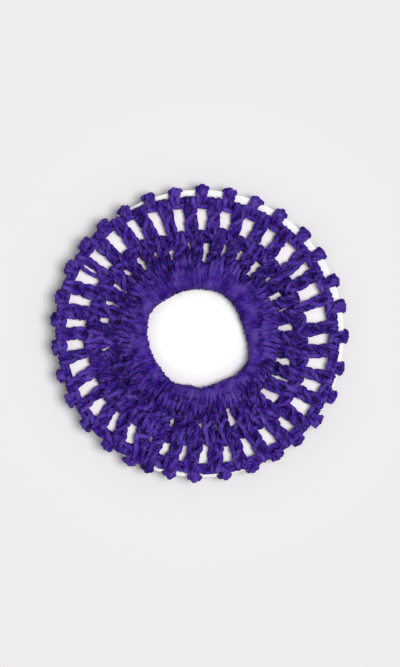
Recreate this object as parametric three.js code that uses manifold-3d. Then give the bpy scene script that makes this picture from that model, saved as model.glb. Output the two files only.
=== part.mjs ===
// Crochet hair snood on a round display disc, lying crown down with its gathered mouth up.
// Millimetres, +Z up. The origin is on the surface that it lies on, under the disc's centre.
// The bag is worked in rounds from the crown, round the disc's edge and in to the mouth. Each
// round is a ring of posts joined by a band of chain stitches, and the feet of the next round
// lie over that band.
import * as THREE from "three";
import { mergeVertices } from "three/addons/utils/BufferGeometryUtils.js";
import Module from "manifold-3d";

const wasm = await Module();
wasm.setup();

// The disc, and the clear space between pieces.
const disc_diameter = 100;
const disc_thickness = 3;
const disc_edge_break = 0.3;
const disc_facets = 60;
const clearance = 0.3;

// Heights of the net, measured away from the face of the disc that it lies on.
const band_height = 1.7;
const foot_height = 1.5;
const post_height = 2.5;
const post_lift = 0.12;
const neighbour_lift = 0.08;
const edge_slope = 0.45;

// The rounded foot of a post, and how far a post's head runs into its band.
const foot_share = 0.88;
const foot_tip_share = 0.55;
const foot_tip_drop = 0.4;
const foot_shoulder = 1.1;
const foot_reach = 0.35;
const drop_length = 0.8;
const head_sink = 0.8;
const rim_head_sink = 1;

// The round that wraps round the edge of the disc.
const rim_wrap = 1.9;
const rim_post_width = 3.8;
const rim_post_flare = 5;
const rim_foot_width = 4.2;

// The dense round at the mouth, rolled over its elastic.
const mouth_radius = 17.35;
const mouth_round_radius = 26.9;
const mouth_height = 5.6;
const mouth_lip = 1.6;
const mouth_facets = 54;

// The back of the bag.
const crown_ring_radius = 13.5;
const crown_ring_hole = 1.5;
const crown_inner_radius = 29;
const crown_outer_radius = 45;
const crown_chain_width = 3.2;
const crown_posts = 17;
const crown_post_width = 3.4;
const crown_foot_width = 4.4;
const crown_shell_width = 7;

// The gaps of the mesh round that shows most. at is the direction of the gap's middle, wide its
// width and lean how far its outer end is turned past its inner end, all in degrees. near and
// far are its two ends and edge is the outer edge of the chain past it, as shares of the disc's
// radius.
const outer_gaps = named(
  ["at", "wide", "near", "far", "edge", "lean"],
  [
    [9.5, 6.8, 0.74, 0.88, 0.96, 0],
    [21, 6, 0.73, 0.875, 0.955, 0],
    [32, 3.2, 0.735, 0.88, 0.955, 2],
    [43.5, 5.5, 0.735, 0.88, 0.955, 2],
    [55.3, 4.8, 0.75, 0.87, 0.955, 0],
    [66.5, 4.8, 0.735, 0.87, 0.955, 0],
    [78, 5, 0.75, 0.865, 0.955, 0],
    [89, 4.2, 0.72, 0.87, 0.96, 0],
    [100.5, 4.6, 0.72, 0.88, 0.965, 0],
    [111, 4.2, 0.725, 0.9, 0.975, 1],
    [122, 3.5, 0.775, 0.92, 0.985, 0],
    [132.5, 5, 0.785, 0.94, 1, 0],
    [143, 3.8, 0.78, 0.94, 1, 0],
    [154.3, 3.8, 0.795, 0.945, 1, 0],
    [165, 3.8, 0.795, 0.94, 1, 0],
    [175, 3.3, 0.8, 0.935, 1, 0],
    [185, 4, 0.82, 0.93, 1, 0],
    [195.5, 4.8, 0.8, 0.935, 1, 2],
    [206, 4.4, 0.79, 0.93, 1, 3],
    [215.5, 4.2, 0.81, 0.925, 1, 0],
    [225.5, 2.6, 0.79, 0.915, 1, 2.5],
    [235.5, 3.2, 0.785, 0.9, 0.99, 4],
    [245, 1.2, 0.78, 0.86, 0.99, 0],
    [252.2, 3.2, 0.79, 0.88, 0.99, 0],
    [261, 2.6, 0.785, 0.89, 0.99, 0],
    [271.5, 3.4, 0.775, 0.895, 0.99, -2.5],
    [282, 3, 0.805, 0.9, 0.99, 0],
    [292.5, 3.3, 0.79, 0.91, 0.99, 0],
    [303.3, 4, 0.785, 0.91, 0.99, 0],
    [313.8, 3.3, 0.8, 0.91, 0.99, 0],
    [324.3, 5, 0.79, 0.915, 0.99, 0],
    [335.3, 4, 0.79, 0.905, 0.99, 0],
    [346.3, 5.3, 0.78, 0.895, 0.975, 0],
    [357.7, 4.5, 0.75, 0.88, 0.965, 0],
  ],
);

// The same for the small gaps between that round and the mouth. Where two posts lie against each
// other and close the gap, its width is below nought and they lap by that much.
const inner_gaps = named(
  ["at", "wide", "near", "far"],
  [
    [4.5, 4.3, 0.56, 0.64],
    [16.3, 1.2, 0.57, 0.62],
    [27, 3.5, 0.555, 0.62],
    [38.3, 1.8, 0.585, 0.62],
    [51.2, 3, 0.555, 0.635],
    [63.5, 1.8, 0.575, 0.645],
    [73.8, 1.2, 0.575, 0.64],
    [85.5, 2.2, 0.555, 0.63],
    [96.5, -1, 0.58, 0.62],
    [109, 2, 0.56, 0.625],
    [119.3, 1.3, 0.6, 0.655],
    [130, 2.8, 0.58, 0.69],
    [139.7, 1.5, 0.63, 0.69],
    [150.5, 1.3, 0.605, 0.695],
    [161.5, 1.8, 0.61, 0.69],
    [171.4, 2.3, 0.63, 0.7],
    [181, -1, 0.61, 0.69],
    [189.5, 1.2, 0.59, 0.68],
    [199, -1, 0.61, 0.68],
    [208.5, 1.2, 0.62, 0.675],
    [218, -1, 0.61, 0.67],
    [227, -1, 0.61, 0.67],
    [236.5, -1, 0.61, 0.67],
    [244, -1, 0.61, 0.67],
    [252, 1.3, 0.61, 0.68],
    [261.5, -1, 0.61, 0.66],
    [271.3, 1.2, 0.6, 0.65],
    [279.5, 1.2, 0.61, 0.68],
    [290, 2.8, 0.56, 0.68],
    [300, -1, 0.59, 0.68],
    [309.5, -1, 0.6, 0.69],
    [319, 4.2, 0.575, 0.7],
    [331, 1.2, 0.575, 0.69],
    [341.5, 3.3, 0.56, 0.66],
    [353, -1, 0.56, 0.63],
  ],
);

// The directions of the posts that wrap round the disc's edge, in degrees.
const rim_post_angles = [
  11, 21.5, 33.5, 43.8, 55.7, 66.5, 78, 89, 100, 111, 122, 131.8, 142, 153.5, 165, 174.5, 186, 197,
  207.5, 219, 230.5, 240.8, 248.5, 257.5, 268, 279.7, 291.5, 302.5, 312.5, 323.5, 334.5, 346, 359,
];

// The edge of the mouth every 20 degrees, as shares of its radius.
const mouth_edge = [
  0.94, 0.91, 0.91, 0.91, 0.91, 0.92, 0.945, 1.01, 1.09, 1.07, 1.05, 1.07, 1.12, 1.06, 1.05, 1.05,
  1.11, 1.03,
];

// The section of the mouth's roll: out is a share of the way from the edge of the mouth to the
// foot of the round, and up a share of its height.
const roll = named(
  ["out", "up"],
  [
    [0.1, 0],
    [0, 0.3],
    [0.06, 0.72],
    [0.25, 1],
    [0.5, 0.92],
    [0.75, 0.74],
  ],
);

const full_turn = 360;
const disc_radius = disc_diameter / 2;
const foot_low = band_height + clearance;
const foot_top = foot_low + foot_height;
const disc_bottom = foot_top + clearance;
const disc_top = disc_bottom + disc_thickness;
const rim_inner_radius = disc_radius + clearance;
const rim_outer_radius = rim_inner_radius + rim_wrap;
const mouth_foot_radius = mouth_round_radius - mouth_lip;

// A height above the disc's front face, or one below its back face, as a place along Z.
const front = (height) => disc_top + clearance + height;
const back = (height) => disc_bottom - clearance - height;

const yarn = new THREE.MeshStandardMaterial({
  name: "purple_yarn",
  color: 0x46288c,
  roughness: 0.9,
  metalness: 0,
});
const card = new THREE.MeshStandardMaterial({
  name: "white_card",
  color: 0xfafafa,
  roughness: 0.6,
  metalness: 0,
});

function named(columns, rows) {
  return rows.map((row) => Object.fromEntries(columns.map((name, i) => [name, row[i]])));
}

function spot(radius, angle, z) {
  const turn = THREE.MathUtils.degToRad(angle);
  return new THREE.Vector3(radius * Math.cos(turn), radius * Math.sin(turn), z);
}

// The value of one column of a chart at any direction, in a straight line between its rows.
function at_angle(chart, column, angle) {
  const turn = THREE.MathUtils.euclideanModulo(angle, full_turn);
  const next = chart.findIndex((row) => row.at > turn);
  const after = chart.at(next < 0 ? 0 : next);
  const before = chart.at(next < 0 ? -1 : next - 1);
  const span = THREE.MathUtils.euclideanModulo(after.at - before.at, full_turn);
  const along = THREE.MathUtils.euclideanModulo(turn - before.at, full_turn) / span;
  return THREE.MathUtils.lerp(before[column], after[column], along);
}

// The ends of the two front mesh rounds' gaps, as radii.
const outer_far = (angle) => disc_radius * at_angle(outer_gaps, "far", angle);
const outer_near = (angle) => disc_radius * at_angle(outer_gaps, "near", angle);
const inner_far = (angle) => disc_radius * at_angle(inner_gaps, "far", angle);
const inner_near = (angle) => disc_radius * at_angle(inner_gaps, "near", angle);
const mouth_band = () => mouth_foot_radius + clearance;
const rim_edge = (angle) => disc_radius * at_angle(outer_gaps, "edge", angle);

function mouth_at(angle) {
  const steps = (angle / full_turn) * mouth_edge.length;
  const before = Math.floor(steps) % mouth_edge.length;
  const after = (before + 1) % mouth_edge.length;
  const share = THREE.MathUtils.lerp(mouth_edge[before], mouth_edge[after], steps % 1);
  return mouth_radius * share;
}

// A closed skin through sections of the same number of points. A ring's last section meets its
// first, and a bar has flat ends.
function loft(sections, is_ring) {
  const size = sections[0].length;
  const points = sections.flat();
  const index = [];
  const spans = is_ring ? sections.length : sections.length - 1;
  for (let i = 0; i < spans; i++) {
    const j = (i + 1) % sections.length;
    for (let k = 0; k < size; k++) {
      const next = (k + 1) % size;
      const corners = [i * size + k, i * size + next, j * size + next, j * size + k];
      index.push(corners[0], corners[1], corners[2], corners[0], corners[2], corners[3]);
    }
  }
  if (!is_ring) {
    const last = points.length - size;
    for (let k = 1; k < size - 1; k++) {
      index.push(0, k + 1, k, last, last + k, last + k + 1);
    }
  }
  const geometry = new THREE.BufferGeometry().setFromPoints(points);
  geometry.setIndex(faces_out(points, index) ? index : index.reverse());
  return geometry;
}

// A profile of radius and height turned about Z.
function turned(profile, facets) {
  const points = profile.map(([radius, z]) => new THREE.Vector2(radius, z));
  return solid(new THREE.LatheGeometry(points, facets).rotateX(Math.PI / 2));
}

function faces_out(points, index) {
  let volume = 0;
  for (let i = 0; i < index.length; i += 3) {
    const [a, b, c] = [0, 1, 2].map((k) => points[index[i + k]]);
    volume += a.dot(b.clone().cross(c));
  }
  return volume > 0;
}

function solid(geometry) {
  const bare = geometry.clone();
  bare.deleteAttribute("normal");
  bare.deleteAttribute("uv");
  const merged = mergeVertices(bare);
  const mesh = new wasm.Mesh({
    numProp: 3,
    vertProperties: new Float32Array(merged.attributes.position.array),
    triVerts: new Uint32Array(merged.index.array),
  });
  return new wasm.Manifold(mesh);
}

function joined(geometries) {
  return geometries.map(solid).reduce((whole, piece) => whole.add(piece));
}

function mesh_of(name, whole, material) {
  const { vertProperties, triVerts } = whole.getMesh();
  const geometry = new THREE.BufferGeometry();
  geometry.setAttribute("position", new THREE.BufferAttribute(vertProperties, 3));
  geometry.setIndex(new THREE.BufferAttribute(triVerts, 1));
  const mesh = new THREE.Mesh(geometry, material);
  mesh.name = name;
  return mesh;
}

// A band of chain stitches: flat against the disc, with sloping sides.
function chain_band(angles, inner, outer, face) {
  const sections = angles.map((angle) => [
    spot(inner(angle), angle, face(0)),
    spot(outer(angle), angle, face(0)),
    spot(outer(angle) - edge_slope, angle, face(band_height)),
    spot(inner(angle) + edge_slope, angle, face(band_height)),
  ]);
  return loft(sections, true);
}

// A post from its foot to its head. Each level has the post's two edges in degrees, a radius
// that may follow the direction, and the heights of its under and upper side.
function post(levels, face) {
  const sections = levels.map(({ left, right, radius, low, high }) => {
    const slope = THREE.MathUtils.radToDeg(edge_slope / radius(left));
    return [
      spot(radius(left), left, face(low)),
      spot(radius(right), right, face(low)),
      spot(radius(right), right - slope, face(high)),
      spot(radius(left), left + slope, face(high)),
    ];
  });
  return loft(sections, false);
}

// The same post with its width narrowed about its middle.
function narrowed(edges, share) {
  const middle = (edges.left + edges.right) / 2;
  const half = ((edges.right - edges.left) / 2) * share;
  return { left: middle - half, right: middle + half };
}

// A mesh round of the front: posts whose feet lie over the band outside them, and whose heads
// join the round's own band. The band turns where its charts have a gap.
function front_round(gaps, far, near, foot_edge, band_inner, band_charts) {
  const posts = gaps.map((gap, i) => {
    const lift = post_lift + (i % 2) * neighbour_lift;
    const next = gaps[(i + 1) % gaps.length];
    const next_at = next.at > gap.at ? next.at : next.at + full_turn;
    const edges = (share) => ({
      left: gap.at + gap.wide / 2 + (gap.lean ?? 0) * share,
      right: next_at - next.wide / 2 + (next.lean ?? 0) * share,
    });
    const outer_end = edges(0.5);
    const inner_end = edges(-0.5);
    const levels = [
      {
        ...narrowed(outer_end, foot_tip_share),
        radius: (angle) => foot_edge(angle) + foot_reach,
        low: foot_low,
        high: foot_top - foot_tip_drop,
      },
      {
        ...narrowed(outer_end, foot_share),
        radius: (angle) => foot_edge(angle) - foot_shoulder,
        low: foot_low,
        high: foot_top,
      },
      { ...outer_end, radius: (angle) => far(angle) - clearance, low: foot_low, high: foot_top },
      {
        ...outer_end,
        radius: (angle) => far(angle) - clearance - drop_length,
        low: lift,
        high: post_height,
      },
      {
        ...inner_end,
        radius: (angle) => near(angle) + clearance,
        low: lift,
        high: band_height - lift,
      },
      {
        ...narrowed(inner_end, foot_tip_share),
        radius: (angle) => near(angle) - head_sink,
        low: lift,
        high: band_height - lift,
      },
    ];
    return post(levels, front);
  });
  const angles = band_charts.flat().map((gap) => gap.at).sort((a, b) => a - b);
  return joined([chain_band(angles, band_inner, near, front), ...posts]);
}

// The posts that wrap round the disc, from their feet on the back to the chain on the front. A
// station has the post's width there, and the radius and place along Z of its side towards the
// disc and of its outer side.
function rim_round() {
  const foot_radius = crown_outer_radius - crown_chain_width;
  const corner = rim_wrap / 2;
  const posts = rim_post_angles.map((angle) => {
    const head_radius = rim_edge(angle) - rim_head_sink;
    const stations = named(
      ["width", "inner_radius", "inner_z", "outer_radius", "outer_z"],
      [
        [rim_foot_width, foot_radius, back(foot_low), foot_radius, back(foot_top)],
        [
          rim_foot_width,
          crown_outer_radius + clearance,
          back(foot_low),
          crown_outer_radius + clearance,
          back(foot_top),
        ],
        [
          rim_post_width,
          disc_radius - clearance,
          back(0),
          rim_outer_radius - corner,
          back(foot_low),
        ],
        [rim_post_flare, rim_inner_radius, disc_bottom, rim_outer_radius, disc_bottom],
        [
          rim_post_flare,
          rim_inner_radius,
          front(0),
          rim_outer_radius - corner / 2,
          front(band_height - post_lift),
        ],
        [
          rim_post_width,
          head_radius,
          front(post_lift),
          head_radius,
          front(band_height - post_lift),
        ],
      ],
    );
    const sections = stations.map((station) => {
      const half = THREE.MathUtils.radToDeg(station.width / disc_radius) / 2;
      return [
        spot(station.inner_radius, angle - half, station.inner_z),
        spot(station.inner_radius, angle + half, station.inner_z),
        spot(station.outer_radius, angle + half * foot_share, station.outer_z),
        spot(station.outer_radius, angle - half * foot_share, station.outer_z),
      ];
    });
    return loft(sections, false);
  });
  const angles = outer_gaps.flatMap((gap, i) => {
    const next = outer_gaps[(i + 1) % outer_gaps.length];
    const span = THREE.MathUtils.euclideanModulo(next.at - gap.at, full_turn);
    return [gap.at, gap.at + span / 2];
  });
  return joined([chain_band(angles, outer_far, rim_edge, front), ...posts]);
}

// The dense round at the mouth. Its foot lies over the chain of the inner mesh.
function mouth_round() {
  const sections = Array.from({ length: mouth_facets }, (_, i) => {
    const angle = (i * full_turn) / mouth_facets;
    const edge = mouth_at(angle);
    const width = mouth_foot_radius - edge;
    return [
      ...roll.map(({ out, up }) => spot(edge + width * out, angle, front(mouth_height * up))),
      spot(mouth_round_radius - foot_tip_drop, angle, front(foot_top)),
      spot(mouth_round_radius, angle, front(foot_low)),
      spot(mouth_foot_radius, angle, front(foot_low)),
      spot(mouth_foot_radius, angle, front(0)),
    ];
  });
  return solid(loft(sections, true));
}

// A mesh round of the back: posts that stand out from the round inside it. A shell is two posts
// side by side, so its head is wide. Each round is set half a step round from the one before.
function crown_round(foot_radius, head_radius, head_width, set_round) {
  const chain_inner = head_radius - crown_chain_width;
  const facets = crown_posts * 3;
  const angles = Array.from({ length: facets }, (_, i) => (i * full_turn) / facets);
  const same = (radius) => () => radius;
  const posts = Array.from({ length: crown_posts }, (_, i) => {
    const angle = ((i + set_round) * full_turn) / crown_posts;
    const level = (radius, width, low, high) => {
      const half = THREE.MathUtils.radToDeg(width / radius) / 2;
      return { left: angle - half, right: angle + half, radius: same(radius), low, high };
    };
    const clear_radius = foot_radius + clearance;
    const head = chain_inner + head_sink;
    return post(
      [
        level(foot_radius - crown_chain_width, crown_post_width, foot_low, foot_top),
        level(clear_radius, crown_foot_width, foot_low, foot_top),
        level(clear_radius + drop_length, crown_foot_width, post_lift, post_height),
        level(head, head_width, post_lift, band_height - post_lift),
      ],
      back,
    );
  });
  return joined([chain_band(angles, same(chain_inner), same(head_radius), back), ...posts]);
}

// The closed start of the crown, flat where the bag lies on it. Its edge is thin under the feet
// of the next round.
function crown_ring() {
  const step = crown_ring_radius - crown_chain_width - clearance - edge_slope;
  const profile = [
    [crown_ring_hole, back(0)],
    [crown_ring_hole, back(foot_top) + edge_slope],
    [crown_ring_hole + edge_slope, back(foot_top)],
    [step - edge_slope, back(foot_top)],
    [step, back(band_height)],
    [crown_ring_radius - edge_slope, back(band_height)],
    [crown_ring_radius, back(0)],
    [crown_ring_hole, back(0)],
  ];
  return turned(profile, crown_posts * 2);
}

function display_disc() {
  const profile = [
    [0, disc_bottom],
    [disc_radius - disc_edge_break, disc_bottom],
    [disc_radius, disc_bottom + disc_edge_break],
    [disc_radius, disc_top - disc_edge_break],
    [disc_radius - disc_edge_break, disc_top],
    [0, disc_top],
  ];
  return turned(profile, disc_facets);
}

const snood = new THREE.Group();
snood.name = "snood";
snood.add(
  mesh_of("crown_ring", crown_ring(), yarn),
  mesh_of(
    "crown_mesh_inner",
    crown_round(crown_ring_radius, crown_inner_radius, crown_post_width, 0.5),
    yarn,
  ),
  mesh_of(
    "crown_mesh_outer",
    crown_round(crown_inner_radius, crown_outer_radius, crown_shell_width, 0),
    yarn,
  ),
  mesh_of("rim_round", rim_round(), yarn),
  mesh_of(
    "outer_mesh",
    front_round(outer_gaps, outer_far, outer_near, rim_edge, inner_far, [outer_gaps, inner_gaps]),
    yarn,
  ),
  mesh_of(
    "inner_mesh",
    front_round(inner_gaps, inner_far, inner_near, outer_near, mouth_band, [inner_gaps]),
    yarn,
  ),
  mesh_of("mouth_round", mouth_round(), yarn),
);

const whole = new THREE.Group();
whole.add(snood, mesh_of("display_disc", display_disc(), card));

export default whole;
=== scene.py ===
# %% [markdown]
# # A crocheted hair snood on its display disc
# The snood is a small round bag of thick purple yarn. It is stretched over a flat white disc with
# its gathered mouth on top. The solids of the model come in as a fixed frame, in metres, and this
# script dresses them: it lays every visible strand of yarn as a tube along the path of the real
# crochet, because the look of the thing is how its strands lie over and under each other, and no
# texture gives that.

# %% Load the solids
import math
from functools import partial

import bpy
import numpy as np
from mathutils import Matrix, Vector, kdtree


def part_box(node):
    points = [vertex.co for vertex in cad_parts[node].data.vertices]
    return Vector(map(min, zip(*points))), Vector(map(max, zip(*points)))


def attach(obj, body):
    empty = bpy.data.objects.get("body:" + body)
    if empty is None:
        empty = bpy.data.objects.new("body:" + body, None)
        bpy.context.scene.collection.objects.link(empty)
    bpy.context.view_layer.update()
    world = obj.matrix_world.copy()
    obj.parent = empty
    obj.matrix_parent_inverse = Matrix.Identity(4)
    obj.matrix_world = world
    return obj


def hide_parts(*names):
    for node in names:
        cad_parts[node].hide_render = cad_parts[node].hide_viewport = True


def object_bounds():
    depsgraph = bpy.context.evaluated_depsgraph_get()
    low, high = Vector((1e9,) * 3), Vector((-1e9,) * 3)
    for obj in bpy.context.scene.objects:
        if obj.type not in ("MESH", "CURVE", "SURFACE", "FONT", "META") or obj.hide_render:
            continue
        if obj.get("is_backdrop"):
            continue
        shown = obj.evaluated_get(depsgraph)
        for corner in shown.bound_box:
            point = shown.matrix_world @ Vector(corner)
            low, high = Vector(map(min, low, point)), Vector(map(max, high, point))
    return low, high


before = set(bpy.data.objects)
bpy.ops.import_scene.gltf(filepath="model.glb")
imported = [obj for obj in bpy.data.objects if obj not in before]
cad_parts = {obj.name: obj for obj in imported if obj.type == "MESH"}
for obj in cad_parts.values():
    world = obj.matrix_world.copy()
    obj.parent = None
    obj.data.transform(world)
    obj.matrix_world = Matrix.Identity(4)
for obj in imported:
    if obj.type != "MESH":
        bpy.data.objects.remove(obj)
solid_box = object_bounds()
MM = 0.001
print("solids:", sorted(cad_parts))

# %% [markdown]
# ## The camera
# The picture looks straight down on the disc's centre. A long lens far above keeps the disc's
# edge from leaning outwards. The frame is 400 by 667, so the lens is worked out for the width.

# %% Place the camera
VIEW_WIDTH = 138.9 * MM
CAMERA_HEIGHT = 1.1
SENSOR_WIDTH = 36.0
FARTHEST_SEEN = 10

disc_low, disc_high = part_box("display_disc")
centre = (disc_low + disc_high) / 2
camera_data = bpy.data.cameras.new("view_from_above")
camera_data.sensor_fit = "HORIZONTAL"
camera_data.sensor_width = SENSOR_WIDTH
camera_data.lens = SENSOR_WIDTH * CAMERA_HEIGHT / VIEW_WIDTH
camera_data.clip_end = FARTHEST_SEEN
camera = bpy.data.objects.new("view_from_above", camera_data)
camera.location = (centre.x, centre.y, disc_high.z + CAMERA_HEIGHT)
bpy.context.scene.collection.objects.link(camera)
bpy.context.scene.camera = camera
print("lens:", round(camera_data.lens, 1), "mm")

# %% [markdown]
# ## What was read from the picture
# The gaps of the net aren't alike, and their order round the disc is what makes this snood this
# one. So each gap of the mesh has a row: its direction and width in degrees, its two ends and
# the edge of the chain past it as shares of the disc's radius, and its lean in degrees. A width
# below nought says how far two posts lap. A knob's row says how far it stands off the disc in
# millimetres, and the mouth's rows give shares of its usual radius. Angles run from the right of
# the picture, against the clock.

# %% Chart the gaps
def chart(columns, *rows):
    """One array for each named column."""
    return dict(zip(columns.split(), np.array(rows, float).T))


OUTER_GAPS = chart(
    "at wide near far edge lean",
    (9.2, 6.5, 0.745, 0.885, 0.96, 1.3), (20.7, 5.8, 0.735, 0.88, 0.955, 1),
    (32, 2.8, 0.74, 0.885, 0.955, 1.5), (43.5, 5.5, 0.735, 0.88, 0.955, 2),
    (54.8, 4.6, 0.75, 0.87, 0.955, 0.5), (66.2, 4.8, 0.735, 0.86, 0.948, 0.5),
    (77.4, 5, 0.75, 0.86, 0.948, 0.5), (88.6, 4.1, 0.72, 0.862, 0.955, 0),
    (100.3, 4.5, 0.72, 0.87, 0.96, 0), (111, 4.2, 0.725, 0.9, 0.975, 1),
    (121.6, 3.5, 0.765, 0.917, 0.985, 0.5), (132.3, 4.7, 0.775, 0.93, 1.01, -0.5),
    (143, 3.3, 0.772, 0.927, 1.015, -1.5), (154.4, 2.8, 0.79, 0.94, 1.015, 1),
    (165, 3.3, 0.785, 0.932, 1.015, 1), (175.4, 3.1, 0.79, 0.928, 1.01, 0),
    (185.2, 3.9, 0.81, 0.925, 1, 0), (195.7, 4.5, 0.79, 0.928, 1, 3),
    (206.3, 4.3, 0.785, 0.928, 1.005, 3.5), (215.6, 4.1, 0.81, 0.925, 1.005, 1.5),
    (226.4, 2.3, 0.772, 0.91, 1.005, 5), (237.2, 3.1, 0.785, 0.903, 1, 7),
    (246, 0.3, 0.78, 0.82, 1, 1), (252.3, 3.4, 0.79, 0.88, 0.975, -3),
    (261.6, 2.2, 0.795, 0.893, 0.97, -2), (271.5, 2.8, 0.77, 0.902, 0.975, -3.5),
    (282.6, 3.2, 0.805, 0.912, 0.985, -1.5), (292.5, 3, 0.79, 0.92, 1, 0),
    (303.3, 3.6, 0.785, 0.915, 1, 1), (313.8, 2.7, 0.805, 0.92, 1, 1),
    (324.6, 4.5, 0.792, 0.922, 1, 0), (335.2, 4.1, 0.79, 0.91, 0.995, 0.5),
    (346.3, 4.7, 0.775, 0.905, 0.98, 2), (357.6, 4, 0.75, 0.89, 0.965, 2.5),
)
INNER_GAPS = chart(
    "at wide near far lean",
    (4, 3.7, 0.54, 0.635, 0.5), (16, 0.2, 0.57, 0.612, 0), (26.3, 3.6, 0.53, 0.613, 1),
    (37.8, 0.4, 0.59, 0.612, 0), (50.7, 2, 0.51, 0.626, 0.5), (63, 1.5, 0.565, 0.635, -2),
    (73.4, 1.3, 0.56, 0.63, -1), (85.3, 2.6, 0.465, 0.618, -3), (96.5, 0.1, 0.585, 0.63, 0),
    (108.7, 2.1, 0.525, 0.605, -3), (118.8, 1.7, 0.605, 0.642, 0), (129.3, 2.9, 0.57, 0.673, 0),
    (139.6, 0.8, 0.633, 0.675, 0), (150.4, 0.5, 0.57, 0.68, -1), (161.6, 1, 0.585, 0.677, 0),
    (171.9, 2.2, 0.635, 0.69, -1), (181, -1, 0.61, 0.69, 0), (189.5, 0.2, 0.59, 0.68, 1.5),
    (199, -1, 0.61, 0.68, 0), (208.5, -1, 0.62, 0.675, 0), (218, -1, 0.61, 0.67, 0),
    (227, -1, 0.61, 0.67, 0), (236.5, -1, 0.61, 0.67, 0), (244, -1, 0.61, 0.67, 0),
    (252.3, 1.6, 0.61, 0.672, -2), (261.5, -1, 0.61, 0.66, 0), (271.3, 0.8, 0.6, 0.65, 0),
    (279.5, 0.2, 0.61, 0.67, 0), (290.3, 2.7, 0.55, 0.67, 0), (300, -1, 0.59, 0.68, 0),
    (309.5, -1, 0.6, 0.69, 0), (319.4, 4.1, 0.58, 0.697, 3), (331.4, 0.9, 0.578, 0.692, 3),
    (341.4, 2.7, 0.55, 0.648, 0.5), (353, -1, 0.56, 0.63, 0),
)
RIM_POSTS = chart(
    "at reach",
    (11, 1.3), (21.5, 1.4), (33.5, 1.6), (43.8, 1.7), (55.7, 1.3), (66.5, 1.2), (78, 1.2),
    (89, 1.4), (100, 1.0), (111, 1.8), (122, 1.4), (131.8, 2.0), (142, 2.0), (153.5, 2.1),
    (165, 1.6), (174.5, 1.8), (186, 1.5), (197, 1.7), (207.5, 2.0), (219, 2.1), (230.5, 1.9),
    (240.8, 1.8), (248.5, 1.2), (257.5, 0.9), (268, 1.0), (279.7, 1.1), (291.5, 1.2),
    (302.5, 1.3), (312.5, 1.6), (323.5, 2.1), (334.5, 2.2), (346, 1.4), (359, 1.4),
)
MOUTH_EDGE = chart(
    "at share",
    (0, 0.86), (20, 0.82), (40, 0.85), (60, 0.88), (80, 0.855), (100, 0.87), (120, 0.89),
    (130, 0.92), (140, 0.98), (160, 1.075), (180, 1.04), (200, 1.03), (220, 1.035), (240, 1.12),
    (260, 1.045), (270, 1.09), (280, 1.045), (300, 1.035), (310, 1.085), (320, 1.09), (330, 1.105),
    (340, 1.015),
)
print("gaps:", len(OUTER_GAPS["at"]), "outer,", len(INNER_GAPS["at"]), "inner")
print("knobs:", len(RIM_POSTS["at"]))

# %% [markdown]
# ## Between the rows
# Between two rows a value is interpolated, and after the last row it goes on at the first,
# because each chart is a circle. A curve through the rows would be smoother, but could swing
# past what was read, and the yarn hides the corners of straight lines.

# %% Read a radius from a chart
FULL_TURN = 360
DISC_RADIUS = (disc_high.x - disc_low.x) / 2
MOUTH_RADIUS = 17.35 * MM


def radius_at(gaps, column, angle):
    """A radius from a chart, at any direction."""
    return DISC_RADIUS * np.interp(angle, gaps["at"], gaps[column], period=FULL_TURN)


def mouth_at(angle):
    """The radius of the mouth's edge at any direction."""
    return MOUTH_RADIUS * np.interp(angle, MOUTH_EDGE["at"], MOUTH_EDGE["share"], period=FULL_TURN)


outer_far = partial(radius_at, OUTER_GAPS, "far")
outer_near = partial(radius_at, OUTER_GAPS, "near")
rim_edge = partial(radius_at, OUTER_GAPS, "edge")
inner_far = partial(radius_at, INNER_GAPS, "far")
inner_near = partial(radius_at, INNER_GAPS, "near")
print("mouth, left to right:", round((mouth_at(0) + mouth_at(180)) / MM, 1), "mm")

# %% [markdown]
# ## Places on the disc
# All the crochet is worked on the disc's surface, so a point is given by a direction in degrees,
# a way along the disc's profile and a height off it. The profile runs from the back, round the
# edge and over the front, with rounded corners, as a thread laid over an edge has. Finished
# strands could be snapped to the disc instead, but that would flatten them.

# %% Lay a point on the disc
DISC_THICKNESS = disc_high.z - disc_low.z
CORNER_RUN = 2.4 * MM
BACK_LOOSENESS = 1.22


def point_at(angle, radius, z):
    """A point in metres, from a direction in degrees."""
    turn = math.radians(angle)
    return (radius * math.cos(turn), radius * math.sin(turn), z)


def on_front(angle, radius, height):
    """A place over the front of the disc."""
    return point_at(angle, radius, disc_high.z + height)


def on_back(angle, radius, height):
    """A place under the back of the disc."""
    return point_at(angle, radius, disc_low.z - BACK_LOOSENESS * height)


def round_edge(angle, run, height):
    """A place along the profile. run is 0 in the middle of the disc's edge, and grows over the
    front corner and in over the front face. On the back it is below 0."""
    side = 1 if run >= 0 else -1
    past_edge = abs(run) - DISC_THICKNESS / 2
    past_corner = past_edge - CORNER_RUN
    if past_edge <= 0:
        radius = DISC_RADIUS + height
        z = centre.z + run
    elif past_corner <= 0:
        bend = math.pi / 2 * past_edge / CORNER_RUN
        radius = DISC_RADIUS + height * math.cos(bend)
        z = centre.z + side * (DISC_THICKNESS / 2 + height * math.sin(bend))
    else:
        radius = DISC_RADIUS - past_corner
        z = centre.z + side * (DISC_THICKNESS / 2 + height)
    return point_at(angle, radius, z)


print("middle of the disc's edge:", [round(value / MM, 1) for value in round_edge(0, 0, 0)], "mm")

# %% [markdown]
# ## Strands
# A strand is a smooth curve through a few points, kept as many points in short even steps. A
# Blender curve with a round bevel could draw it, but couldn't carry the three plies of the yarn,
# so tubes are spun from the points later. A small wobble keeps the yarn from looking like wire.

# %% Lay a strand
YARN_RADIUS = 0.86 * MM
STEP = 0.55 * MM
LONG_STEP = 0.75 * MM
LONG_STEPPED = ("crown_ring_yarn", "crown_inner_yarn", "crown_outer_yarn", "mouth_yarn")
CURVE_STEPS = 8
WOBBLE = 0.08 * MM
WOBBLE_STEPS = 3
rng = np.random.default_rng(34)
strands = []


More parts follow.
